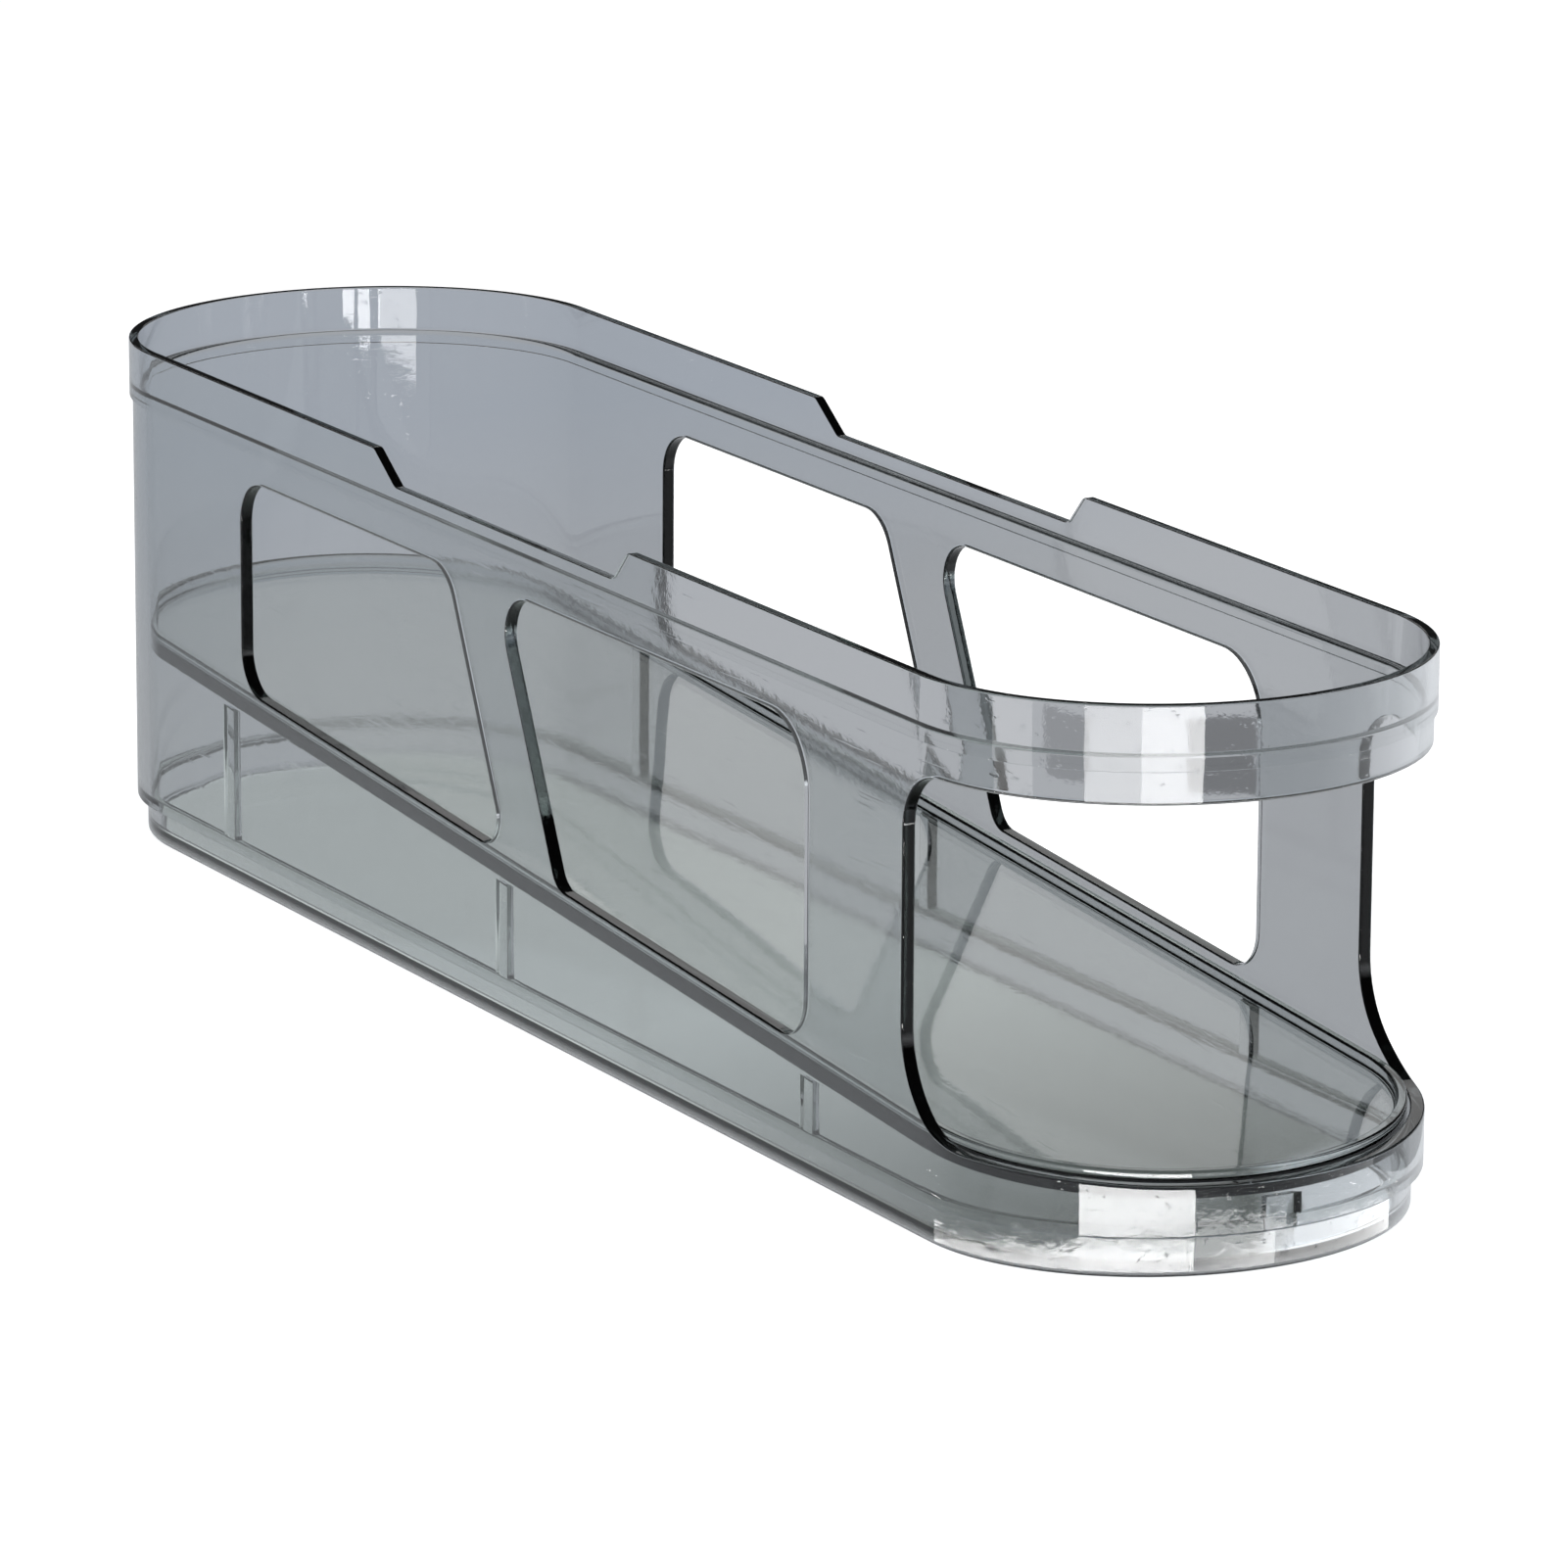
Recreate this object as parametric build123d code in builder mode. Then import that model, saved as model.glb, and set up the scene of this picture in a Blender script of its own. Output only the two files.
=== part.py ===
from build123d import *
from math import radians, tan
import os

# A dispenser for round goods in a single file: a tall clear case with rounded ends, open at the top,
# and a loose sloping tray that lies inside it and feeds the mouth at the front.
# All sizes are in millimetres. X runs across the case and Z up from the table.
# Y runs along it, with the mouth at -Y. The origin is the middle of the footprint.

os.makedirs("parts", exist_ok=True)

# Case, seen from above: two straight sides with a half ellipse at each end
body_width = 89.0
body_length = 357.0
end_depth = 40.0
wall = 2.4

# Case, from the table up
body_height = 93.5
floor_thickness = 2.0
foot_height = 7.0
foot_inset = 1.9
foot_edge_radius = 1.0
shelf_thickness = 1.6

# Stacking lip round the top: it stands out from the wall and takes the foot of the next case
lip_outset = 0.6
lip_wall = 1.8
lip_depth = 8.1
ledge_thickness = 2.6

# The lip is lower along the middle of both sides, between two steps placed from the case's middle
rim_drop = 5.5
rear_step_y = 44.5
rear_step_run = 8.0
front_step_y = -40.5
front_step_run = 5.0
step_radius = 2.2

# Everything at the bottom of the openings climbs towards the back at this angle
ramp_angle = 4.2
front_wall_height = 15.2

# Openings: the mouth through the front end and two windows in each side, all under one upper band
band_height = 16.2
mouth_depth = 45.5
mouth_top_radius = 10.0
mouth_bottom_radius = 18.0
front_post_width = 31.5
rear_wall_length = 76.2
sill_rise = 2.7

# The post between the windows leans forward going down. Its rear edge meets the band at post_top_y
post_top_y = 23.0
post_width = 18.1
post_lean = 25.0
rear_window_end_radius = 8.0
rear_window_post_radius = 9.0
front_window_post_radius = 7.0
front_window_top_radius = 12.0
front_window_sill_radius = 7.0
post_sill_radius = 5.0

# Ribs that carry the tray: three on each side wall, and a rounded one at the front
rib_middle_y = 4.4
rib_pitch = 105.5
rib_width = 4.3
rib_depth = 1.6
front_rib_width = 6.6
front_rib_depth = 2.7
front_rib_bottom = 5.8
rib_root = 0.5

# Sloping tray
tray_clearance = 0.4
tray_rest_gap = 0.3
plate_thickness = 2.4
plate_below_edge = 0.3
tray_rim_height = 1.9
tray_rim_width = 1.8

# How far a cut runs past what it cuts
overrun = 10.0

straight_length = body_length - 2 * end_depth
front_tip_y = -body_length / 2
ledge_z = body_height - lip_depth
lip_step_z = ledge_z - ledge_thickness
shelf_z = foot_height + shelf_thickness
opening_top = body_height - band_height
mouth_rear_y = front_tip_y + mouth_depth
front_window_front_y = mouth_rear_y + front_post_width
rear_window_rear_y = -front_tip_y - rear_wall_length
plate_top_height = front_wall_height - plate_below_edge
plate_bottom_height = plate_top_height - plate_thickness
tray_rim_top_height = plate_top_height + tray_rim_height
tray_offset = -wall - tray_clearance
rise = tan(radians(ramp_angle))


def outline(offset):
    """Adds the case's outline, grown by offset, to the sketch in hand."""
    Rectangle(body_width + 2 * offset, straight_length)
    with Locations((0, straight_length / 2), (0, -straight_length / 2)):
        Ellipse(body_width / 2 + offset, end_depth + offset)


def slope(y, front_height):
    """Height at y of a line that climbs at the ramp's angle from front_height at the front tip."""
    return front_height + (y - front_tip_y) * rise


def sill(y):
    """Height at y of the windows' lower edge."""
    return slope(y, front_wall_height + sill_rise)


def foot_of_post(top_y):
    """The point where a post edge that starts at top_y meets the line of the sill."""
    lean = tan(radians(post_lean))
    y = (top_y - lean * (opening_top - sill(0))) / (1 - lean * rise)
    return (y, sill(y))


def cut_across(corners, radii):
    """Cuts a side-view shape, given by its (y, z) corners, right through the part in hand."""
    with BuildSketch(Plane.YZ) as side_view:
        with BuildLine():
            FilletPolyline(*corners, radius=radii, close=True)
        make_face()
    extrude(side_view.sketch, amount=body_width, both=True, mode=Mode.SUBTRACT)


# The case: foot, wall and lip as one solid, then its inside in the same three steps
with BuildPart() as case:
    with BuildSketch():
        outline(-foot_inset)
    extrude(amount=foot_height)
    fillet(case.faces().sort_by(Axis.Z)[0].edges(), radius=foot_edge_radius)
    with BuildSketch(Plane.XY.offset(foot_height)):
        outline(0)
    extrude(amount=lip_step_z - foot_height)
    with BuildSketch(Plane.XY.offset(lip_step_z)):
        outline(lip_outset)
    extrude(amount=body_height - lip_step_z)
    with BuildSketch(Plane.XY.offset(floor_thickness)):
        outline(-foot_inset - wall)
    extrude(amount=shelf_z - floor_thickness, mode=Mode.SUBTRACT)
    with BuildSketch(Plane.XY.offset(shelf_z)):
        outline(-wall)
    extrude(amount=ledge_z - shelf_z, mode=Mode.SUBTRACT)
    with BuildSketch(Plane.XY.offset(ledge_z)):
        outline(lip_outset - lip_wall)
    extrude(amount=body_height - ledge_z, mode=Mode.SUBTRACT)

    # Side ribs stand on the shelf and stop just under the tray
    for side in (-1, 1):
        for place in (-1, 0, 1):
            rear_y = rib_middle_y + place * rib_pitch + rib_width / 2
            front_y = rear_y - rib_width
            with BuildSketch(Plane.YZ.offset(side * (body_width / 2 - wall + rib_root))):
                with BuildLine():
                    Polyline(
                        (front_y, shelf_z - rib_root),
                        (rear_y, shelf_z - rib_root),
                        (rear_y, slope(rear_y, plate_bottom_height) - tray_rest_gap),
                        (front_y, slope(front_y, plate_bottom_height) - tray_rest_gap),
                        close=True,
                    )
                make_face()
            extrude(amount=-side * (rib_depth + rib_root))

    # Front rib, with a round lower end
    front_rib_top = slope(front_tip_y + wall, plate_bottom_height) - tray_rest_gap
    round_centre_z = front_rib_bottom + front_rib_width / 2
    with BuildSketch(Plane.XZ.offset(body_length / 2 - wall + rib_root)):
        with Locations((0, (round_centre_z + front_rib_top) / 2)):
            Rectangle(front_rib_width, front_rib_top - round_centre_z)
        with Locations((0, round_centre_z)):
            Circle(front_rib_width / 2)
    extrude(amount=-(front_rib_depth + rib_root))

    # Windows, one pair behind the slanting post and one in front of it
    rear_window_foot = foot_of_post(post_top_y)
    cut_across(
        [
            (rear_window_rear_y, sill(rear_window_rear_y)),
            (rear_window_rear_y, opening_top),
            (post_top_y, opening_top),
            rear_window_foot,
        ],
        [rear_window_end_radius, rear_window_end_radius, rear_window_post_radius, post_sill_radius],
    )
    front_window_foot = foot_of_post(post_top_y - post_width)
    cut_across(
        [
            front_window_foot,
            (post_top_y - post_width, opening_top),
            (front_window_front_y, opening_top),
            (front_window_front_y, sill(front_window_front_y)),
        ],
        [post_sill_radius, front_window_post_radius, front_window_top_radius, front_window_sill_radius],
    )

    # Mouth, through the whole front end between the upper band and the sloping lower edge
    beyond_y = front_tip_y - overrun
    cut_across(
        [
            (beyond_y, slope(beyond_y, front_wall_height)),
            (mouth_rear_y, slope(mouth_rear_y, front_wall_height)),
            (mouth_rear_y, opening_top),
            (beyond_y, opening_top),
        ],
        [0, mouth_bottom_radius, mouth_top_radius, 0],
    )

    # Lower stretch of the lip, entered and left by a rounded step
    low_rim_z = body_height - rim_drop
    front_high_y = front_step_y - front_step_run / 2
    front_low_y = front_step_y + front_step_run / 2
    rear_low_y = rear_step_y - rear_step_run / 2
    rear_high_y = rear_step_y + rear_step_run / 2
    cut_across(
        [
            (front_high_y - overrun, body_height),
            (front_high_y, body_height),
            (front_low_y, low_rim_z),
            (rear_low_y, low_rim_z),
            (rear_high_y, body_height),
            (rear_high_y + overrun, body_height),
            (rear_high_y + overrun, body_height + overrun),
            (front_high_y - overrun, body_height + overrun),
        ],
        [0, step_radius, step_radius, step_radius, step_radius, 0, 0, 0],
    )

case.part.label = "case"
export_step(case.part, "parts/case.step")

# The hollow of the tray: everything inside its rim and above its plate
with BuildPart() as tray_hollow:
    with BuildSketch():
        outline(tray_offset - tray_rim_width)
    extrude(amount=body_height)
    with BuildSketch(Plane.YZ):
        with BuildLine():
            Polyline(
                (front_tip_y, slope(front_tip_y, plate_top_height)),
                (-front_tip_y, slope(-front_tip_y, plate_top_height)),
                (-front_tip_y, body_height),
                (front_tip_y, body_height),
                close=True,
            )
        make_face()
    extrude(amount=body_width, both=True, mode=Mode.INTERSECT)

# The tray: a sloping slab with the case's inner outline, less its hollow
with BuildPart() as ramp_tray:
    with BuildSketch():
        outline(tray_offset)
    extrude(amount=body_height)
    with BuildSketch(Plane.YZ):
        with BuildLine():
            Polyline(
                (front_tip_y, slope(front_tip_y, plate_bottom_height)),
                (-front_tip_y, slope(-front_tip_y, plate_bottom_height)),
                (-front_tip_y, slope(-front_tip_y, tray_rim_top_height)),
                (front_tip_y, slope(front_tip_y, tray_rim_top_height)),
                close=True,
            )
        make_face()
    extrude(amount=body_width, both=True, mode=Mode.INTERSECT)
    add(tray_hollow.part, mode=Mode.SUBTRACT)

ramp_tray.part.label = "ramp_tray"
export_step(ramp_tray.part, "parts/ramp_tray.step")
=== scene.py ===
from math import cos, pi, radians, sin, tan

import bmesh
import bpy
import numpy as np
from mathutils import Matrix, Vector
from mathutils.geometry import delaunay_2d_cdt


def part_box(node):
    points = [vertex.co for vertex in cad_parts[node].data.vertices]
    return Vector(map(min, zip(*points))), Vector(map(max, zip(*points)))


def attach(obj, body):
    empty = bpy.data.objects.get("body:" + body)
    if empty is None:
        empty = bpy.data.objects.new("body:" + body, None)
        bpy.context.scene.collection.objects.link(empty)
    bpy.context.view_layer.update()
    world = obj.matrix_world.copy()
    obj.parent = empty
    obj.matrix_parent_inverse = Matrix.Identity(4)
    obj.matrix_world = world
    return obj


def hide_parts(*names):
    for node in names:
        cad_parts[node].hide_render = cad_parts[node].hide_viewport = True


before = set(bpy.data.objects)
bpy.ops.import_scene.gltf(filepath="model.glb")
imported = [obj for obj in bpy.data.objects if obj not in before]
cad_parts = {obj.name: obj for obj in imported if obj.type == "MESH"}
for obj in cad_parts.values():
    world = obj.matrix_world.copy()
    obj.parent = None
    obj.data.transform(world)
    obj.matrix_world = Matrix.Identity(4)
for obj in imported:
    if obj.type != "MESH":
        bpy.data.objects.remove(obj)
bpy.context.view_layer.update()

# Sizes are in millimetres here, and become metres where a mesh is made
MM = 0.001

# Case, as in the part's source; its overall size comes from the frame
case_low, case_high = (np.array(corner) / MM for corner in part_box("case"))
lip_outset = 0.6
half_width = (case_high[0] - case_low[0]) / 2 - lip_outset
half_length = (case_high[1] - case_low[1]) / 2 - lip_outset
body_height = case_high[2]
end_depth = 40.0
wall = 2.4
floor_thickness = 2.0
foot_height = 7.0
foot_inset = 1.9
shelf_z = 8.6
ledge_z = body_height - 8.1
lip_step_z = ledge_z - 2.6
lip_wall = 1.8
end_centre = half_length - end_depth

# Lower stretch of the lip
rim_drop = 5.5
front_step = (-43.0, -38.0)
rear_step = (40.5, 48.5)
step_radius = 2.2

# Openings
rise = tan(radians(4.2))
front_wall_height = 15.2
sill_rise = 2.7
opening_top = body_height - 16.2
mouth_rear_y = -half_length + 45.5
rear_window_rear_y = half_length - 76.2
front_window_front_y = mouth_rear_y + 31.5
post_top_y = 23.0
post_width = 18.1
post_lean = tan(radians(25.0))
rear_window_radii = (8.0, 8.0, 9.0, 5.0)
front_window_radii = (5.0, 7.0, 12.0, 7.0)
mouth_radii = (10.0, 18.0)

# Ribs under the tray
rib_places = (-101.1, 4.4, 109.9)
rib_width = 4.3
rib_depth = 1.6
front_rib_width = 6.6
front_rib_depth = 2.7
front_rib_bottom = 5.8
rib_side = 0.7

# Tray
tray_rest_gap = 0.3
tray_edge = -wall - 0.4
tray_bottom_height = 12.5
plate_thickness = 2.4
tray_rim_height = 1.9
tray_rim_width = 1.8

# How far the moulding's edges are rounded
edge_radius = 0.4
rim_radius = 0.25

# The plastic: its surface tint where it is clean and where it is milky, and what its depth takes from
# the light. The rubbed stretch of the foot starts at rub_low and is gone at rub_high, in metres.
case_clean, case_milky = (0.97, 0.98, 0.99, 1.0), (0.88, 0.91, 0.93, 1.0)
tray_clean, tray_milky = (0.97, 0.98, 0.99, 1.0), (0.88, 0.91, 0.92, 1.0)
case_smoke, tray_smoke = (0.48, 0.52, 0.51, 1.0), (0.48, 0.53, 0.50, 1.0)
smoke_density = 140.0
rub_low, rub_high, rub_share = 0.0004, 1 / 450.0, 0.45
rub_white = (0.9, 0.93, 0.95, 1.0)
lamp_tint = (0.93, 0.95, 0.96, 1.0)

# How the surfaces are cut up: the most between columns on the sides and on the ends, the most between
# points of an opening's edge, the points from the mouth's side to its middle, those of a quarter circle
# across an edge, the strips of a plate and the rows of points in the middle wall
side_step, end_step, opening_step = 9.0, 1.6, 2.5
mouth_points = 24
arc_points = 5
plate_strips = 6
wall_rows = 12

# How near a loose point may lie to a fixed one, how near two points are joined, how far inside its rounded
# edge a level plate starts, and how far behind the front tip the side view of the mouth's edge ends
least_gap = 0.3
weld_distance = 0.002
plate_inset = 4.0
mouth_tip_depth = 6.0

# Radii along each profile, from its first corner to its last
foot_radii = (0, 1.0, edge_radius, edge_radius, 0)
shelf_radius = 0.5
inner_foot_radii = (0, edge_radius, shelf_radius, 1.2, 0)
lip_radii = (0, 0.1, 0.1, 0)
ledge_radii = (0, 0.25, 0.9, 0)
tray_radii = (0, 0.5, 0.5, 0.5, 0.7, 0)

# The studio: how bright the floor is, what shows through the plastic, and how bright the surroundings are
# that the plastic mirrors. Heights of the level sheets are in metres.
floor_z, flags_z, footprint_z, underlay_z = -0.0002, -0.00025, -0.0003, -0.0004
floor_half = 6.0
floor_glow = 0.78
underlay_near, underlay_far, underlay_glow = (0.93, 0.94, 0.99, 1.0), (0.83, 0.88, 0.985, 1.0), 0.53
# The footprint seen through the plastic: painted shade at its front, white behind, its glow, and a painted
# highlight in its front right corner
footprint_painted_shade, footprint_far, footprint_glow = (0.15, 0.16, 0.145, 1.0), (0.95, 0.99, 0.97, 1.0), 0.93
footprint_painted_highlight = (1.25, 1.26, 1.32, 1.0)
cool_tint = (0.93, 0.96, 1.0, 1.0)
dark_above, horizon_glow = 0.03, 1.2
glow_below, glow_rear_left, glow_right = 0.3, 0.42, 2.4
lamp_aim = (0, 0, 0.04)
softboxes = (
    ("top_softbox", (-0.3, -0.2, 1.5), (0.7, 1.0), 14.0),
    ("left_softbox", (-1.3, -0.9, 0.7), (0.25, 1.0), 7.0),
    ("right_softbox", (1.5, -0.8, 0.8), (0.3, 1.2), 7.0),
)

# Cards that the plastic mirrors. Each is a ribbon that stands in an arc about the front end: its name, its
# distance in metres, its glow, and its stations, which give a bearing clockwise from +Y in degrees and the
# ribbon's lower and upper edge there. They stand below the floor's level, because upright walls throw a view
# from above back downwards. Only the last stands high and far behind, where the tray's top mirrors it.
cards = (
    ("front_high_card", 0.8, 13.5, ((-173.5, -0.146, -0.093), (-150.0, -0.1455, -0.093))),
    ("front_left_high_card", 0.8, 8.0, ((-150.0, -0.1455, -0.093), (-127.0, -0.142, -0.093))),
    ("far_left_high_card", 0.8, 3.0, ((-104.0, -0.124, -0.093), (-84.0, -0.124, -0.093))),
    ("front_ring_card", 0.8, 19.0, ((-173.5, -0.2298, -0.213), (-127.5, -0.2298, -0.213))),
    ("front_foot_card", 0.8, 24.0, ((-174.5, -0.252, -0.2318), (-126.0, -0.252, -0.2318))),
    ("foot_left_card", 0.8, 22.0, ((-126.0, -0.252, -0.2318), (-40.0, -0.252, -0.2425))),
    ("foot_right_card", 0.8, 8.0, ((84.0, -0.252, -0.2335), (152.0, -0.252, -0.2335))),
    ("foot_middle_card", 0.8, 16.0, ((152.0, -0.252, -0.2335), (185.5, -0.252, -0.2440))),
    ("ring_low_card", 0.81, 7.0, ((150.0, -0.246, -0.2302), (185.5, -0.246, -0.2302))),
    ("rear_right_card", 2.5, 0.75, ((5.0, 0.78, 1.6), (60.0, 0.78, 1.6))),
)

# Dark flags on the underlay, painted shade that shows through the band above the mouth: corners in
# millimetres, and glow
flags = (
    ("right_flag", ((178, 134), (192, 128), (160, 76), (147, 84)), 0.22),
    ("left_flag", ((156, 157), (160, 144), (132, 100), (128, 111)), 0.34),
)

# Grey cards beside the case, as bright as what lies behind them, that keep the glow out of the flat sides:
# their place, their ends along Y and their lower and upper edge, all in metres, and their glow
side_card_x, side_card_y, side_card_z, side_card_glow = 0.1, (-0.195, 0.3), (-0.012, 0.02), 0.71

# The case's wall between these heights is one open-work surface, below and above it are plain rings
middle_low = 9.6
middle_high = 79.0
lip_low = 86.2

# The camera: its bearing, its height angle and its roll in degrees, the point it looks at in millimetres,
# its distance from there in metres, and its lens and framing
camera_turn, camera_height, camera_roll = -29.753, 14.769, 0.356
camera_aim, camera_distance = (1.598, -16.535, 35.95), 1.5525
camera_lens, camera_sensor, camera_shift = 207.42, 36.0, (-0.0042, 0.0224)

# Length of a quarter of an end along the outline, and of the whole outline
quarter = (half_width + end_depth) / 2 * pi / 2
around = 4 * quarter + 4 * end_centre


def slope(y, front_height):
    """Height at y of a line that climbs at the ramp's angle from front_height at the front tip."""
    return front_height + (y + half_length) * rise


def outline(u, d):
    """Point at distance u round the outline grown by d, and the outward normal there.

    u starts at the rear tip and goes by the -X side. The ends are half ellipses,
    (half_width + d) cos t and (end_depth + d) sin t about a centre at end_centre, with t even in u.
    """
    stops = np.cumsum([0, quarter, 2 * end_centre, 2 * quarter, 2 * end_centre, quarter])
    t = np.interp(u, stops, np.array([0.5, 1.0, 1.0, 2.0, 2.0, 2.5]) * pi)
    centre = np.interp(u, stops, end_centre * np.array([1, 1, -1, -1, 1, 1]))
    along, across = end_depth + d, half_width + d
    normal = np.stack([np.cos(t) / across, np.sin(t) / along], axis=-1)
    normal /= np.linalg.norm(normal, axis=-1, keepdims=True)
    return across * np.cos(t), centre + along * np.sin(t), normal


def distance_round(y):
    """Distance u round the outline of the point at y on the -X side."""
    straight = quarter + end_centre - np.clip(y, -end_centre, end_centre)
    beyond = np.clip((-end_centre - y) / end_depth, 0, 1)
    return straight + quarter * np.arcsin(beyond) / (pi / 2)


def rounded(corners, radii, steps=5, closed=False):
    """Line through the corners with each one cut by an arc of its radius.

    Gives the points and, for each, the unit normal to the right of the way of travel.
    An arc starts and ends r tan(turn / 2) from its corner and turns evenly.
    """
    corners = np.array(corners, float)
    count = len(corners)
    points, normals = [], []
    for i, radius in enumerate(radii):
        inner = closed or 0 < i < count - 1
        ahead = corners[(i + 1) % count] - corners[i]
        behind = corners[i] - corners[i - 1]
        if not inner:
            way = ahead if i == 0 else behind
            angles = np.array([np.arctan2(way[1], way[0])])
            start = corners[i]
        else:
            first = np.arctan2(behind[1], behind[0])
            turn = (np.arctan2(ahead[1], ahead[0]) - first + pi) % (2 * pi) - pi
            angles = first + turn * np.linspace(0, 1, steps + 1)
            way = behind / np.linalg.norm(behind)
            start = corners[i] - way * radius * tan(abs(turn) / 2)
        right = np.stack([np.sin(angles), -np.cos(angles)], axis=-1)
        if inner:
            side = np.sign(turn)
            centre = start - side * radius * right[0]
            points.append(centre + side * radius * right)
        else:
            points.append(start[None, :])
        normals.append(right)
    return np.concatenate(points), np.concatenate(normals)


def smooth(x):
    """0 below 0, 1 above 1, and 3x^2 - 2x^3 between."""
    x = np.clip(x, 0, 1)
    return x * x * (3 - 2 * x)


class Moulding:
    """Patches of surface, each with its points and normals, that become one closed mesh."""

    def __init__(self):
        self.points, self.normals, self.faces, self.count = [], [], [], 0

    def add(self, points, normals, faces):
        """Adds points and normals, one row each, and faces that count these points from 0."""
        self.points.append(points)
        self.normals.append(normals)
        self.faces.extend((np.asarray(faces) + self.count).tolist())
        self.count += len(points)

    def grid(self, points, normals, round_u=False):
        """Adds a grid of points, rows by u and columns by the profile; round_u joins its ends."""
        rows, columns = points.shape[:2]
        here = np.arange(rows * columns).reshape(rows, columns)
        ahead = np.roll(here, -1, axis=0) if round_u else here[1:]
        if not round_u:
            here = here[:-1]
        quads = np.stack([here[:, :-1], ahead[:, :-1], ahead[:, 1:], here[:, 1:]], axis=-1)
        self.add(points.reshape(-1, 3), normals.reshape(-1, 3), quads.reshape(-1, 4))

    def mesh(self, name):
        """Joins the patches where their points meet, and keeps the normals worked out for them."""
        mesh = bpy.data.meshes.new(name)
        mesh.from_pydata(np.concatenate(self.points) * MM, [], self.faces)
        wanted = mesh.attributes.new("wanted", "FLOAT_VECTOR", "POINT")
        wanted.data.foreach_set("vector", np.concatenate(self.normals).ravel())
        work = bmesh.new()
        work.from_mesh(mesh)
        bmesh.ops.remove_doubles(work, verts=work.verts, dist=weld_distance * MM)
        work.to_mesh(mesh)
        work.free()
        normals = np.empty(len(mesh.vertices) * 3, np.float32)
        mesh.attributes["wanted"].data.foreach_get("vector", normals)
        mesh.attributes.remove(mesh.attributes["wanted"])
        mesh.shade_smooth()
        mesh.normals_split_custom_set_from_vertices(normals.reshape(-1, 3))
        return mesh


def opening_edges():
    """Each opening's edge in (u, z), counter-clockwise.

    A window is a polygon with arcs at its corners, and lies on a straight side, where u runs with y.
    The mouth wraps the front end: its sides are worked out in (y, z) and laid round the outline up to
    near_tip_y, its top is level, its bottom follows the slope, and its far half mirrors the near one.
    """
    def sill(y):
        return slope(y, front_wall_height + sill_rise)

    def foot(top_y):
        y = (top_y - post_lean * (opening_top - sill(0))) / (1 - post_lean * rise)
        return (y, sill(y))

    front_top_y = post_top_y - post_width
    windows = (
        ([(rear_window_rear_y, sill(rear_window_rear_y)), (rear_window_rear_y, opening_top),
          (post_top_y, opening_top), foot(post_top_y)], rear_window_radii),
        ([foot(front_top_y), (front_top_y, opening_top), (front_window_front_y, opening_top),
          (front_window_front_y, sill(front_window_front_y))], front_window_radii),
    )
    edges = []
    for corners, radii in windows:
        points, _ = rounded(corners, radii, steps=12, closed=True)
        near = np.stack([distance_round(points[:, 0]), points[:, 1]], axis=1)
        edges.append(near[::-1])
        edges.append(mirrored(near))
    near_tip_y = -half_length + mouth_tip_depth
    corners = [
        (near_tip_y, opening_top),
        (mouth_rear_y, opening_top),
        (mouth_rear_y, slope(mouth_rear_y, front_wall_height)),
        (near_tip_y, slope(near_tip_y, front_wall_height)),
    ]
    side, _ = rounded(corners, (0, *mouth_radii, 0), steps=16)
    side = np.stack([distance_round(side[:, 0]), side[:, 1]], axis=1)
    share = np.linspace(0, 1, mouth_points)[1:]
    top_u = side[0, 0] + (around / 2 - side[0, 0]) * share
    bottom_u = side[-1, 0] + (around / 2 - side[-1, 0]) * share
    top = np.stack([top_u, np.full_like(top_u, opening_top)], axis=1)
    bottom = np.stack([bottom_u, slope(outline(bottom_u, 0.0)[1], front_wall_height)], axis=1)
    half = np.concatenate([top[::-1], side, bottom])
    edges.append(np.concatenate([half, mirrored(half[-2:0:-1])]))
    return [evened(edge, opening_step) for edge in edges]


def mirrored(points):
    """(u, z) points on the other side of the case."""
    return np.stack([around - points[:, 0], points[:, 1]], axis=1)


def evened(line, most):
    """A closed line with points put into its long straight runs, so that none is over most long."""
    ahead = np.roll(line, -1, axis=0)
    gaps = np.linalg.norm(ahead - line, axis=1)
    steps = np.where(gaps < 1e-6, 0, np.maximum(1, np.ceil(gaps / most))).astype(int)
    index = np.repeat(np.arange(len(line)), steps)
    first = np.cumsum(steps) - steps
    share = ((np.arange(len(index)) - first[index]) / steps[index])[:, None]
    return line[index] * (1 - share) + ahead[index] * share


def ways_in(line):
    """Unit normals of a closed counter-clockwise line, pointing into it."""
    way = np.roll(line, -1, axis=0) - np.roll(line, 1, axis=0)
    way /= np.linalg.norm(way, axis=1, keepdims=True)
    return np.stack([-way[:, 1], way[:, 0]], axis=1)


def inside(points, line):
    """Which points lie inside the closed line: a ray along u crosses it an odd number of times."""
    u, z = points[:, :1], points[:, 1:]
    u1, z1 = line.T[:, None, :]
    u2, z2 = np.roll(line, -1, axis=0).T[:, None, :]
    crosses = ((z1 > z) != (z2 > z)) & (u < (u2 - u1) * (z - z1) / np.where(z2 == z1, 1, z2 - z1) + u1)
    return crosses.sum(axis=1) % 2 == 1


def rim_line():
    """The lip's top edge in (y, z), from front to rear, with its unit upward normal."""
    low = body_height - rim_drop
    corners = [
        (-half_length - 1, body_height),
        (front_step[0], body_height),
        (front_step[1], low),
        (rear_step[0], low),
        (rear_step[1], body_height),
        (half_length + 1, body_height),
    ]
    points, normals = rounded(corners, (0, *[step_radius] * 4, 0), steps=8)
    return points, -normals


# Lines that frame each rib, from its foot to its full depth
rib_insets = np.linspace(0, 1, 5) * rib_side


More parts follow.
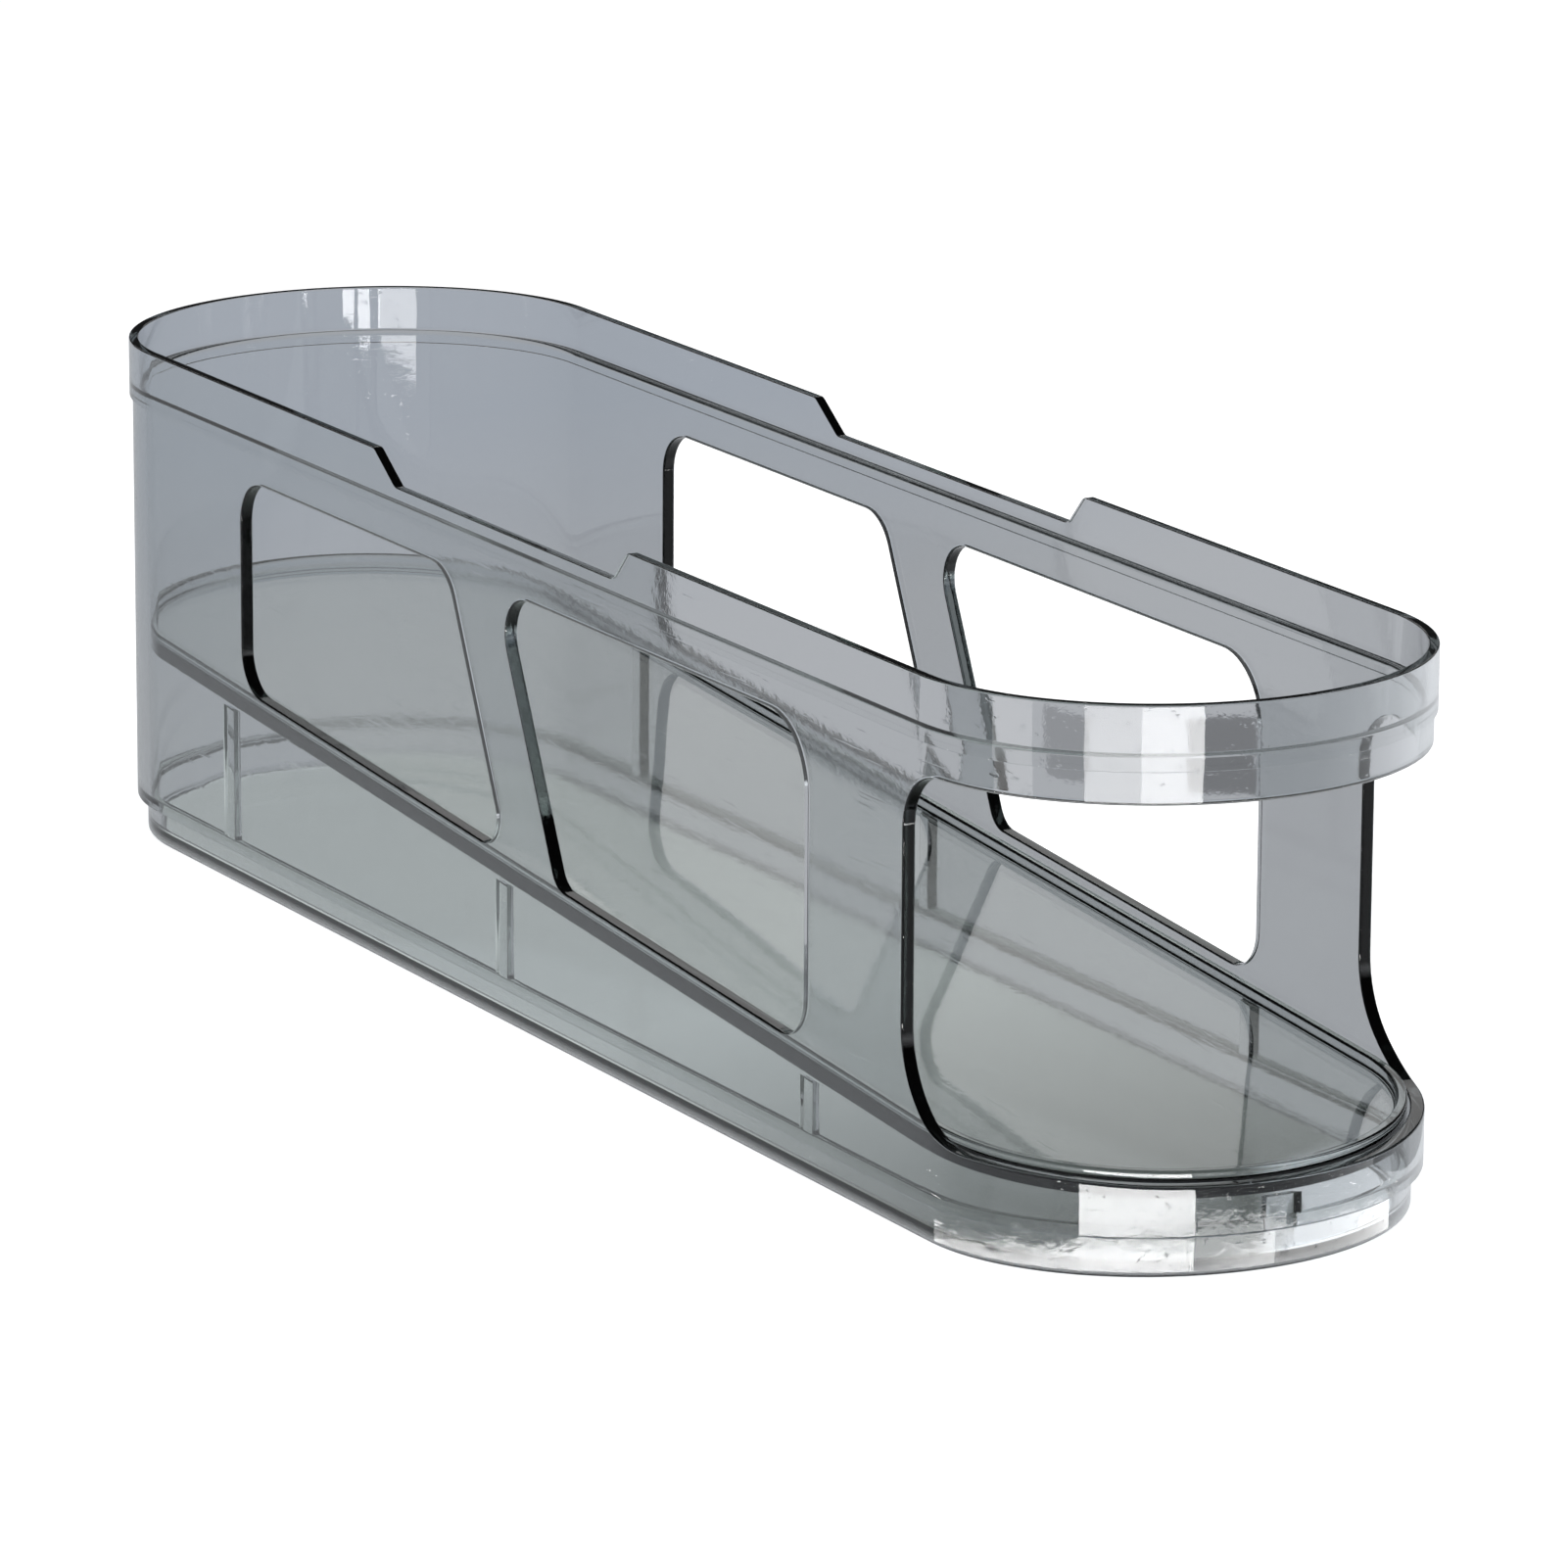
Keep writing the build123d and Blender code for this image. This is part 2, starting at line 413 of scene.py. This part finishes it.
def rib_frames():
    """For each rib, its middle u, half its width, the height of its top there and its full d."""
    frames = []
    for y in rib_places:
        u = float(distance_round(y))
        top = slope(y, tray_bottom_height) - tray_rest_gap
        frames.append((u, rib_width / 2, top, -wall - rib_depth))
        frames.append((around - u, rib_width / 2, top, -wall - rib_depth))
    front_top = slope(-half_length + wall, tray_bottom_height) - tray_rest_gap
    frames.append((around / 2, front_rib_width / 2, front_top, -wall - front_rib_depth))
    return frames


def rib_depth_at(u, z):
    """How far a rib has risen at (u, z), from 0 to 1, and the d of its face.

    It rises smoothly over rib_side from the rib's outline: two straight sides, a top that follows
    the slope of the tray, and for the front rib a half-round lower end.
    """
    share = np.zeros(np.broadcast(u, z).shape)
    face = np.full(share.shape, -wall)
    for middle, half, top, depth in rib_frames():
        across = np.abs(u - middle)
        tilt = 0 if middle == around / 2 else rise * np.sign(around / 2 - middle)
        room = np.minimum(half - across, top - tilt * (u - middle) - z)
        if middle == around / 2:
            centre = front_rib_bottom + half
            room = np.where(z < centre, half - np.hypot(across, centre - z), room)
        here = smooth(room / rib_side)
        face = np.where(here > 0, depth, face)
        share = np.maximum(share, here)
    return share, face


def inner_d(u, z):
    """Offset of the middle wall's inner face."""
    share, face = rib_depth_at(u, z)
    return -wall + (face + wall) * share


def inner_face(u, z):
    """Points of the middle wall's inner face, and their normals into the case.

    The normal is the outline's turned inwards, plus the offset's slopes along u and z, taken over 0.02 mm.
    """
    step = 0.01
    x, y, out = outline(u, inner_d(u, z))
    slope_u = (inner_d(u + step, z) - inner_d(u - step, z)) / (2 * step)
    slope_z = (inner_d(u, z + step) - inner_d(u, z - step)) / (2 * step)
    normal = np.stack([-out[:, 0] - out[:, 1] * slope_u, out[:, 0] * slope_u - out[:, 1], slope_z], axis=1)
    return np.stack([x, y, z], axis=1), normal / np.linalg.norm(normal, axis=1, keepdims=True)


def outer_face(u, z):
    """Points and outward normals of the middle wall's outer face."""
    x, y, out = outline(u, 0.0)
    return np.stack([x, y, z], axis=1), np.stack([out[:, 0], out[:, 1], np.zeros_like(x)], axis=1)


def column_stops():
    """Values of u where the case needs a column: ribs, steps of the lip, and even steps between them."""
    half = around / 2
    stops = [np.array([0, quarter, half - quarter, half]), distance_round(rim_line()[0][1:-1, 0])]
    for middle, width, _, _ in rib_frames():
        stops += [middle - width + rib_insets, middle + width - rib_insets]
    stops = np.concatenate(stops)
    stops = np.unique(np.round(stops[(stops >= 0) & (stops < half + 1e-6)], 6))
    pieces = []
    for low, high in zip(stops[:-1], stops[1:]):
        most = side_step if quarter <= low and high <= half - quarter + 1e-6 else end_step
        pieces.append(np.linspace(low, high, int(np.ceil((high - low) / most)), endpoint=False))
    left = np.append(np.concatenate(pieces), half)
    return np.concatenate([left, around - left[-2:0:-1]])


def openwork(columns, edges, ribbed):
    """Points (u, z) and triangles of one face of the middle wall, with its openings left out.

    The rectangle gets a point at each column of its low and high edge, a lattice on the rounded ends and
    a wider one on the sides, and is then cut into triangles. The inner face also has its ribs' frames.
    """
    ends = np.append(columns, around)
    low_row = np.stack([ends, np.full_like(ends, middle_low)], axis=1)
    high_row = np.stack([ends, np.full_like(ends, middle_high)], axis=1)
    loops = [low_row, high_row, *edges]
    closed = [False, False] + [True] * len(edges)
    for middle, half, top, _ in rib_frames() if ribbed else ():
        tilt = 0 if middle == around / 2 else rise * np.sign(around / 2 - middle)
        for inset in rib_insets:
            sides = np.array([-1, -1, 1, 1]) * (half - inset)
            tops = top - tilt * sides - inset
            loops.append(np.stack([middle + sides, np.where([1, 0, 0, 1], middle_low, tops)], axis=1))
            closed.append(False)
    rows = np.linspace(middle_low, middle_high, wall_rows + 2)[1:-1]
    curved = (ends <= quarter) | (ends >= around - quarter) | (np.abs(ends - around / 2) <= quarter)
    wide = np.arange(quarter, around - quarter, side_step)
    lattice = [np.stack(np.meshgrid(line, rows), axis=-1).reshape(-1, 2) for line in (ends[curved], wide)]
    lattice = np.concatenate(lattice)
    fixed = np.concatenate(loops)
    near = np.sqrt(((lattice[:, None, :] - fixed[None, :, :]) ** 2).sum(axis=2).min(axis=1))
    keep = near > least_gap
    for edge in edges:
        keep &= ~inside(lattice, edge)
    points = np.concatenate([fixed, lattice[keep]])
    lines, start = [], 0
    for loop, is_closed in zip(loops, closed):
        index = np.arange(start, start + len(loop))
        start += len(loop)
        ahead = np.roll(index, -1)
        pairs = np.stack([index, ahead], axis=1)
        lines.append(pairs if is_closed else pairs[:-1])
    lines.append(np.array([[0, len(low_row)], [len(low_row) - 1, 2 * len(low_row) - 1]]))
    out = delaunay_2d_cdt(points.tolist(), np.concatenate(lines).tolist(), [], 0, 1e-6, True)
    source = np.array([group[0] for group in out[3]])
    triangles = source[np.array(out[2])]
    middles = points[triangles].mean(axis=1)
    for edge in edges:
        hole = inside(middles, edge)
        triangles, middles = triangles[~hole], middles[~hole]
    first, second, third = points[triangles].transpose(1, 0, 2)
    turned = np.cross(second - first, third - first) < 0
    triangles[turned] = triangles[turned][:, ::-1]
    return points, triangles


def edge_climb(u, d, way, tilt):
    """How much higher an upward edge lies at offset d than on the outer face: tilt times what y gains."""
    return tilt * np.clip(way[:, 1:], 0, 1) * (outline(u, d)[1] - outline(u, 0.0)[1])


def edge_strip(u, z, way, outer, inner, radius, tilt=0.0):
    """Points and normals of a rounded edge that runs from the outer to the inner face.

    Across the edge, a quarter circle leaves the outer face, a flat crosses the wall and a second
    quarter circle meets the inner face. way is the edge's unit (u, z) direction out of the material.
    An edge that faces up also climbs across the wall, by tilt times what y gains there.
    """
    angles = np.linspace(0, pi / 2, arc_points)
    turn = np.concatenate([angles, angles[::-1]])
    back = radius * (1 - np.sin(turn))
    depth = radius * (1 - np.cos(turn))
    depth = np.concatenate([depth[:arc_points], outer - inner - depth[arc_points:]])
    facing = np.concatenate([np.cos(angles), -np.cos(angles[::-1])])
    uu = u[:, None] - way[:, :1] * back
    zz = z[:, None] - way[:, 1:] * back
    x, y, out = outline(uu, outer - depth)
    zz = zz + edge_climb(uu, outer - depth, way, tilt)
    flat = np.sin(turn)[None, :]
    facing = facing - tilt * np.clip(way[:, 1:], 0, 1) * out[..., 1] * flat
    along = way[:, :1] * flat
    n_x = out[..., 0] * facing - out[..., 1] * along
    n_y = out[..., 1] * facing + out[..., 0] * along
    return np.stack([x, y, zz], axis=-1), np.stack([n_x, n_y, way[:, 1:] * flat], axis=-1)


def ring(columns, profile, normals):
    """A profile in (d, z), with its normals, carried round the outline."""
    x, y, out = outline(columns[:, None], profile[None, :, 0])
    z = np.broadcast_to(profile[:, 1], x.shape)
    return np.stack([x, y, z], axis=-1), ring_normals(out, normals)


def ring_normals(out, normals):
    """Normals in (d, z) turned to face the way that the outline faces at each column."""
    n_z = np.broadcast_to(normals[:, 1], out.shape[:-1])
    return np.stack([out[..., 0] * normals[:, 0], out[..., 1] * normals[:, 0], n_z], axis=-1)


def plate(moulding, columns, d, height, normal, tilt=0.0):
    """Fills the outline grown by d at a height that may climb with y, in strips across from side to side."""
    half = len(columns) // 2
    left = np.stack(outline(columns[:half + 1], d)[:2], axis=1)
    share = np.linspace(-1, 1, plate_strips + 1)
    x = -left[:, :1] * share
    y = np.broadcast_to(left[:, 1:], x.shape)
    z = height + (y + half_length) * tilt
    points = np.stack([x, y, z], axis=-1)
    facing = np.array([0, -tilt, 1.0]) * normal
    facing = np.broadcast_to(facing / np.linalg.norm(facing), points.shape)
    if normal < 0:
        points = points[:, ::-1]
    moulding.grid(points, facing)


def case_mesh():
    """The case as one closed surface: the underside, up the outside, over the lip and down the inside."""
    shell = Moulding()
    columns = column_stops()

    foot = [
        (-foot_inset - plate_inset, 0),
        (-foot_inset, 0),
        (-foot_inset, foot_height),
        (0, foot_height),
        (0, middle_low),
    ]
    plate(shell, columns, foot[0][0], 0.0, -1)
    shell.grid(*ring(columns, *rounded(foot, foot_radii)), round_u=True)

    edges = opening_edges()
    ways = [ways_in(edge) for edge in edges]
    holes = [edge - way * edge_radius for edge, way in zip(edges, ways)]
    sheet, triangles = openwork(columns, holes, ribbed=False)
    shell.add(*outer_face(*sheet.T), triangles)
    for hole, way in zip(holes, ways):
        hole[:, 1:] += edge_climb(hole[:, :1], -wall, way, rise)
    sheet, triangles = openwork(columns, holes, ribbed=True)
    shell.add(*inner_face(*sheet.T), triangles[:, ::-1])
    for edge, way in zip(edges, ways):
        shell.grid(*edge_strip(edge[:, 0], edge[:, 1], way, 0.0, -wall, edge_radius, rise), round_u=True)

    lip = [(0, middle_high), (0, lip_step_z), (lip_outset, lip_step_z), (lip_outset, lip_low)]
    shell.grid(*ring(columns, *rounded(lip, lip_radii)), round_u=True)
    lip_inside = lip_outset - lip_wall
    ledge = [(lip_inside, lip_low), (lip_inside, ledge_z), (-wall, ledge_z), (-wall, middle_high)]
    shell.grid(*ring(columns, *rounded(ledge, ledge_radii)), round_u=True)

    rim, up = rim_line()
    column_y = outline(columns, 0.0)[1]
    z = np.interp(column_y, rim[:, 0], rim[:, 1])
    way_y = np.interp(column_y, rim[:, 0], up[:, 0])
    way_z = np.interp(column_y, rim[:, 0], up[:, 1])
    way = np.stack([np.where(columns < around / 2, -way_y, way_y), way_z], axis=1)
    points, normals = edge_strip(columns, z, way, lip_outset, lip_inside, rim_radius)
    shell.grid(points, normals, round_u=True)
    share = np.linspace(0, 1, 5)[None, :]
    u_top = columns[:, None] - way[:, :1] * rim_radius
    z_top = z[:, None] - way[:, 1:] * rim_radius
    uu = columns[:, None] * (1 - share) + u_top * share
    zz = lip_low * (1 - share) + z_top * share
    for d, facing in ((lip_outset, 1), (lip_inside, -1)):
        x, y, out = outline(uu, d)
        points = np.stack([x, y, zz], axis=-1)
        normals = np.stack([out[..., 0], out[..., 1], np.zeros_like(x)], axis=-1) * facing
        shell.grid(points[:, ::facing], normals[:, ::facing], round_u=True)

    foot_inside = -foot_inset - wall
    inner = [
        (-wall, middle_low),
        (-wall, shelf_z),
        (foot_inside, shelf_z),
        (foot_inside, floor_thickness),
        (foot_inside - plate_inset, floor_thickness),
    ]
    shell.grid(*ribbed_ring(columns, *rounded(inner, inner_foot_radii)), round_u=True)
    plate(shell, columns, inner[-1][0], floor_thickness, 1)
    return shell.mesh("case_clear")


def ribbed_ring(columns, profile, normals):
    """The inner foot of the wall, with the lower ends of the ribs on it.

    Where a rib has risen, each point of the profile moves to the rib's face, and the points of the shelf
    spread evenly up that face. There the normals come from the grid's own directions.
    """
    length = np.append(0, np.cumsum(np.linalg.norm(np.diff(profile, axis=0), axis=1)))
    shelf_end = np.argmax(profile[:, 1] < shelf_z - 0.98 * shelf_radius)
    on_face = np.interp(length, [0, length[shelf_end]], [middle_low, profile[shelf_end, 1]])
    target_z = np.where(np.arange(len(length)) <= shelf_end, on_face, profile[:, 1])
    share, face = rib_depth_at(columns[:, None], target_z[None, :])
    target_d = np.minimum(profile[None, :, 0], face)
    d = profile[None, :, 0] * (1 - share) + target_d * share
    z = profile[None, :, 1] * (1 - share) + target_z[None, :] * share
    x, y, out = outline(columns[:, None], d)
    points = np.stack([x, y, z], axis=-1)
    plain = ring_normals(out, normals)
    round_way = np.roll(points, -1, axis=0) - np.roll(points, 1, axis=0)
    own = np.cross(round_way, np.gradient(points, axis=1))
    own /= np.maximum(np.linalg.norm(own, axis=-1, keepdims=True), 1e-9)
    return points, np.where(share[..., None] > 0, own, plain)


def tray_mesh():
    """The tray as one closed surface: a profile that climbs with y, carried round, and two plates."""
    tray = Moulding()
    columns = column_stops()
    rim_inside = tray_edge - tray_rim_width
    top = plate_thickness + tray_rim_height
    corners = [
        (tray_edge - plate_inset, 0),
        (tray_edge, 0),
        (tray_edge, top),
        (rim_inside, top),
        (rim_inside, plate_thickness),
        (rim_inside - plate_inset, plate_thickness),
    ]
    points, normals = ring(columns, *rounded(corners, tray_radii))
    points[..., 2] += slope(points[..., 1], tray_bottom_height)
    normals[..., 1] -= rise * normals[..., 2]
    normals /= np.linalg.norm(normals, axis=-1, keepdims=True)
    tray.grid(points, normals, round_u=True)
    plate(tray, columns, corners[0][0], tray_bottom_height, -1, rise)
    plate(tray, columns, corners[-1][0], tray_bottom_height + plate_thickness, 1, rise)
    return tray.mesh("ramp_tray_clear")


class Value:
    """An output of a node tree's node. Python's operators on it add Math nodes to the tree."""

    def __init__(self, board, socket):
        self.board, self.socket = board, socket

    def __add__(self, other):
        return self.board.math("ADD", self, other)

    def __sub__(self, other):
        return self.board.math("SUBTRACT", self, other)

    def __rsub__(self, other):
        return self.board.math("SUBTRACT", other, self)

    def __mul__(self, other):
        return self.board.math("MULTIPLY", self, other)

    __radd__, __rmul__ = __add__, __mul__

    def clipped(self):
        """The value held between 0 and 1."""
        return self.board.math("MINIMUM", self.board.math("MAXIMUM", self, 0.0), 1.0)


class Board:
    """The node tree of a material or a world, which starts empty."""

    def __init__(self, owner):
        owner.use_nodes = True
        self.owner, self.tree = owner, owner.node_tree
        self.tree.nodes.clear()

    def node(self, kind, settings=None, sockets=None, out=0):
        """Adds a node, its settings, then its sockets' values or links, and gives one of its outputs."""
        node = self.tree.nodes.new(kind)
        for name, setting in (settings or {}).items():
            setattr(node, name, setting)
        for name, value in (sockets or {}).items():
            if isinstance(value, Value):
                self.tree.links.new(value.socket, node.inputs[name])
            else:
                node.inputs[name].default_value = value
        return Value(self, node.outputs[out]) if node.outputs else None

    def math(self, operation, first, second=0.0):
        """A Math node on one or two values."""
        return self.node("ShaderNodeMath", {"operation": operation}, {0: first, 1: second})

    def mix(self, share, first, second):
        """A colour between two, by a share from 0 to 1."""
        return self.node("ShaderNodeMix", {"data_type": "RGBA"}, {0: share, 6: first, 7: second}, out=2)


def clear_plastic(name, clean, milky, smoke):
    """Clear moulded plastic: a tinted see-through body with flow marks, haze, faint scuffs and a worn foot.

    The rubbed stretch of the foot is a white haze that comes in sharply at rub_low and fades out to rub_high.
    Lamps shine through the plastic with a light tint, and its depth takes more light the longer the way.
    """
    board = Board(bpy.data.materials.new(name))
    place = board.node("ShaderNodeTexCoord", out="Object")
    drawn_out = board.node("ShaderNodeMapping", None, {"Vector": place, "Scale": (1.0, 0.35, 1.0)})
    flow = board.node("ShaderNodeTexNoise", {"noise_dimensions": "3D"},
                      {"Vector": drawn_out, "Scale": 26.0, "Detail": 2.0, "Roughness": 0.4})
    fine = board.node("ShaderNodeTexNoise", None,
                      {"Vector": place, "Scale": 420.0, "Detail": 3.0, "Roughness": 0.6})
    lengthwise = board.node("ShaderNodeMapping", None, {"Vector": place, "Scale": (1.0, 0.06, 1.0)})
    scratches = board.node("ShaderNodeTexNoise", None,
                           {"Vector": lengthwise, "Scale": 900.0, "Detail": 2.0, "Roughness": 0.5})
    height = board.node("ShaderNodeSeparateXYZ", None, {0: place}, out="Z")
    worn_foot = (1.0 - height * 180.0).clipped()
    scuffed = ((scratches - 0.66) * 9.0).clipped()
    haze = (flow - 0.45) * 0.5
    tint = board.mix((haze + 0.35).clipped(), clean, milky)
    roughness = 0.02 + fine * 0.02 + scuffed * 0.05 + worn_foot * 0.04
    waves = board.node("ShaderNodeBump", None, {"Strength": 0.2, "Distance": 0.0006, "Height": flow})
    relief = board.node("ShaderNodeBump", None,
                        {"Strength": 0.1, "Distance": 0.00006, "Height": fine + scuffed, "Normal": waves})
    body = board.node("ShaderNodeBsdfPrincipled", None,
                      {"Base Color": tint, "Roughness": roughness, "Normal": relief,
                       "IOR": 1.49, "Transmission Weight": 1.0})
    come_in = ((height - rub_low) * 2500.0).clipped()
    fade_out = (1.0 - height * (1 / rub_high)).clipped()
    rubbed = (come_in * fade_out) * rub_share
    white = board.node("ShaderNodeBsdfDiffuse", None, {"Color": rub_white})
    body = board.node("ShaderNodeMixShader", None, {0: rubbed, 1: body, 2: white})
    lit = board.node("ShaderNodeBsdfTransparent", None, {"Color": lamp_tint})
    for_lamps = board.node("ShaderNodeLightPath", out="Is Shadow Ray")
    whole = board.node("ShaderNodeMixShader", None, {0: for_lamps, 1: body, 2: lit})
    depth = board.node("ShaderNodeVolumeAbsorption", None, {"Color": smoke, "Density": smoke_density})
    board.node("ShaderNodeOutputMaterial", None, {"Surface": whole, "Volume": depth})
    return board.owner


def pale_floor():
    """A matt white floor with a trace of grain, lit from within so that it stays white to its far edge."""
    board = Board(bpy.data.materials.new("pale_floor"))
    place = board.node("ShaderNodeTexCoord", out="Object")
    grain = board.node("ShaderNodeTexNoise", None, {"Vector": place, "Scale": 60.0, "Detail": 3.0})
    shade = board.mix(grain, (0.80, 0.80, 0.80, 1.0), (0.82, 0.82, 0.82, 1.0))
    body = board.node("ShaderNodeBsdfPrincipled", None,
                      {"Base Color": shade, "Roughness": 0.9,
                       "Emission Color": (1, 1, 1, 1), "Emission Strength": floor_glow})
    board.node("ShaderNodeOutputMaterial", None, {"Surface": body})
    return board.owner


def placed(name, mesh, material, body, node):
    """Puts a finished piece into the scene in place of its CAD node."""
    piece = bpy.data.objects.new(name, mesh)
    bpy.context.scene.collection.objects.link(piece)
    mesh.materials.append(material)
    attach(piece, body)
    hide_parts(node)


case_plastic = clear_plastic("case_plastic_clear", case_clean, case_milky, case_smoke)
tray_plastic = clear_plastic("tray_plastic_clear", tray_clean, tray_milky, tray_smoke)
placed("case_clear", case_mesh(), case_plastic, "case_body", "case")
placed("ramp_tray_clear", tray_mesh(), tray_plastic, "tray_body", "ramp_tray")


def stage_sheet(name, corners, faces, material, seen_by):
    """A piece of the stage that only the named kinds of ray see."""
    mesh = bpy.data.meshes.new(name)
    mesh.from_pydata(corners, [], faces)
    mesh.materials.append(material)
    sheet = bpy.data.objects.new(name, mesh)
    bpy.context.scene.collection.objects.link(sheet)
    for kind in ("camera", "diffuse", "glossy", "transmission", "shadow", "volume_scatter"):
        setattr(sheet, "visible_" + kind, kind in seen_by)


def level_square(half, z):
    """Corners of a level square about the origin."""
    return [(-half, -half, z), (half, -half, z), (half, half, z), (-half, half, z)]


def glowing(name, strength, colour):
    """A material that glows, and lights only what looks at it. Its colour may be worked out from X and Y."""
    board = Board(bpy.data.materials.new(name))
    if callable(colour):
        place = board.node("ShaderNodeTexCoord", out="Object")
        x, y = (board.node("ShaderNodeSeparateXYZ", None, {0: place}, out=axis) for axis in "XY")
        colour = colour(board, x, y)
    light = board.node("ShaderNodeEmission", None, {"Color": colour, "Strength": strength})
    board.node("ShaderNodeOutputMaterial", None, {"Surface": light})
    board.owner.cycles.emission_sampling = "NONE"
    return board.owner


def border(value, gain):
    """A soft border: from 0 to 1 over a width of 1 / gain, about the place where the value is 0."""
    return (value * gain + 0.5).clipped()


def underlay_colour(board, x, y):
    """Cooler behind the case than beside it, changing over 200 mm from y = 250 mm."""
    return board.mix(((y - 0.25) * 5.0).clipped(), underlay_near, underlay_far)


def footprint_colour(board, x, y):
    """Painted shade that is dark at the front, white from the middle on, and a painted highlight that is
    light again in the front right corner.

    The dark end lightens over 135 mm from y = -150 mm. The corner lies beyond two slanting soft borders.
    """
    colour = board.mix(((y + 0.15) * 7.4).clipped(), footprint_painted_shade, footprint_far)
    rightwards = border(x * 0.85 - y * 0.53 - 0.0925, 170.0)
    forwards = border(x * 0.38 - y - 0.149, 90.0)
    return board.mix(rightwards * forwards, colour, footprint_painted_highlight)


def softbox(name, place, aim, size, power):
    """A rectangular soft light at a place, turned to a point."""
    lamp = bpy.data.lights.new(name, "AREA")
    lamp.shape = "RECTANGLE"
    lamp.size, lamp.size_y = size
    lamp.energy = power
    holder = bpy.data.objects.new(name, lamp)
    holder.location = place
    holder.rotation_euler = (Vector(aim) - Vector(place)).to_track_quat("-Z", "Y").to_euler()
    holder.visible_glossy = holder.visible_transmission = False
    bpy.context.scene.collection.objects.link(holder)


def sheets():
    """The level sheets of the stage, one just under another.

    The floor is what the eye sees directly. Through the plastic it sees a grey underlay instead, a footprint
    under the case with painted shade at the front and a painted highlight in its front right corner, and
    two dark flags of painted shade.
    """
    square = [range(4)]
    through = ("transmission",)
    stage_sheet("floor", level_square(floor_half, floor_z), square, pale_floor(), ("camera", "diffuse"))
    grey = glowing("underlay_grey", underlay_glow, underlay_colour)
    stage_sheet("underlay", level_square(floor_half, underlay_z), square, grey, through)
    points = 96
    x, y, _ = outline(np.linspace(0, around, points + 1)[:-1], -foot_inset)
    corners = [(px * MM, py * MM, footprint_z) for px, py in zip(x, y)]
    # The footprint's material paints shade at the front and a highlight in the front right corner
    white = glowing("footprint_painted_shade_and_highlight", footprint_glow, footprint_colour)
    stage_sheet("footprint", corners, [range(points)], white, through)
    for name, corners, glow in flags:
        corners = [(x * MM, y * MM, flags_z) for x, y in corners]
        stage_sheet(name, corners, [range(len(corners))], glowing(name, glow, underlay_near), through)


def standing_cards():
    """The glowing cards in their arcs, which the plastic mirrors, and the grey ones beside the case.

    A card above the floor's level is also seen through the plastic.
    """
    panels = 32
    for name, distance, glow, stations in cards:
        stops, low, high = np.array(stations).T
        bearings = np.linspace(stops[0], stops[-1], panels + 1)
        x = distance * np.sin(np.radians(bearings))
        y = distance * np.cos(np.radians(bearings)) - end_centre * MM
        edges = [np.interp(bearings, stops, edge) for edge in (low, high)]
        corners = [corner for edge in edges for corner in zip(x, y, edge)]
        faces = [(i, i + 1, i + panels + 2, i + panels + 1) for i in range(panels)]
        seen_by = ("glossy", "transmission") if low.min() > 0 else ("glossy",)
        stage_sheet(name, corners, faces, glowing(name, glow, (1.0, 1.0, 1.0, 1.0)), seen_by)
    for name, side in (("left_side_card", -1), ("right_side_card", 1)):
        ends = ((0, 0), (1, 0), (1, 1), (0, 1))
        corners = [(side * side_card_x, side_card_y[i], side_card_z[j]) for i, j in ends]
        stage_sheet(name, corners, [range(4)], glowing(name, side_card_glow, cool_tint), ("glossy",))


def surroundings():
    """What the plastic mirrors all round: dark above, a bright strip at the horizon, and dim below it.

    The strip fades out over an eighth of z to either side, and the dim part comes in over a fortieth.
    That part is brighter to the rear left, and brightest to the right, by the fourth power of x.
    """
    world = bpy.data.worlds.new("studio")
    board = Board(world)
    way = board.node("ShaderNodeTexCoord", out="Generated")
    x, y, z = (board.node("ShaderNodeSeparateXYZ", None, {0: way}, out=axis) for axis in "XYZ")
    right = x.clipped() * x.clipped()
    rear_left = (y * 0.43 - x * 0.25 + 0.5).clipped()
    low = rear_left * glow_rear_left + right * right * glow_right + glow_below
    strip = (1.0 - board.math("ABSOLUTE", z) * 8.0).clipped() * horizon_glow
    below = (z * -40.0).clipped()
    strength = below * (low - dark_above) + strip + dark_above
    sky = board.node("ShaderNodeBackground", None, {"Color": cool_tint, "Strength": strength})
    board.node("ShaderNodeOutputWorld", None, {"Surface": sky})
    world.cycles.sampling_method = "NONE"
    bpy.context.scene.world = world


def studio():
    """The sheets, the cards, the surroundings and the lamps."""
    sheets()
    standing_cards()
    surroundings()
    for name, place, size, power in softboxes:
        softbox(name, place, lamp_aim, size, power)


def camera():
    """The photograph's view: its bearing, height, distance, roll and framing."""
    turn, height, roll = radians(camera_turn), radians(camera_height), radians(camera_roll)
    back = Vector((sin(turn) * cos(height), -cos(turn) * cos(height), sin(height)))
    right = Vector((cos(turn), sin(turn), 0))
    up = back.cross(right)
    right, up = right * cos(roll) + up * sin(roll), up * cos(roll) - right * sin(roll)
    view = bpy.data.cameras.new("photograph_view")
    view.lens, view.sensor_width = camera_lens, camera_sensor
    view.shift_x, view.shift_y = camera_shift
    holder = bpy.data.objects.new("photograph_view", view)
    place = Vector(camera_aim) * MM + back * camera_distance
    holder.matrix_world = Matrix.Translation(place) @ Matrix((right, up, back)).transposed().to_4x4()
    bpy.context.scene.collection.objects.link(holder)
    bpy.context.scene.camera = holder


studio()
camera()
bpy.context.scene.view_settings.view_transform = "Standard"
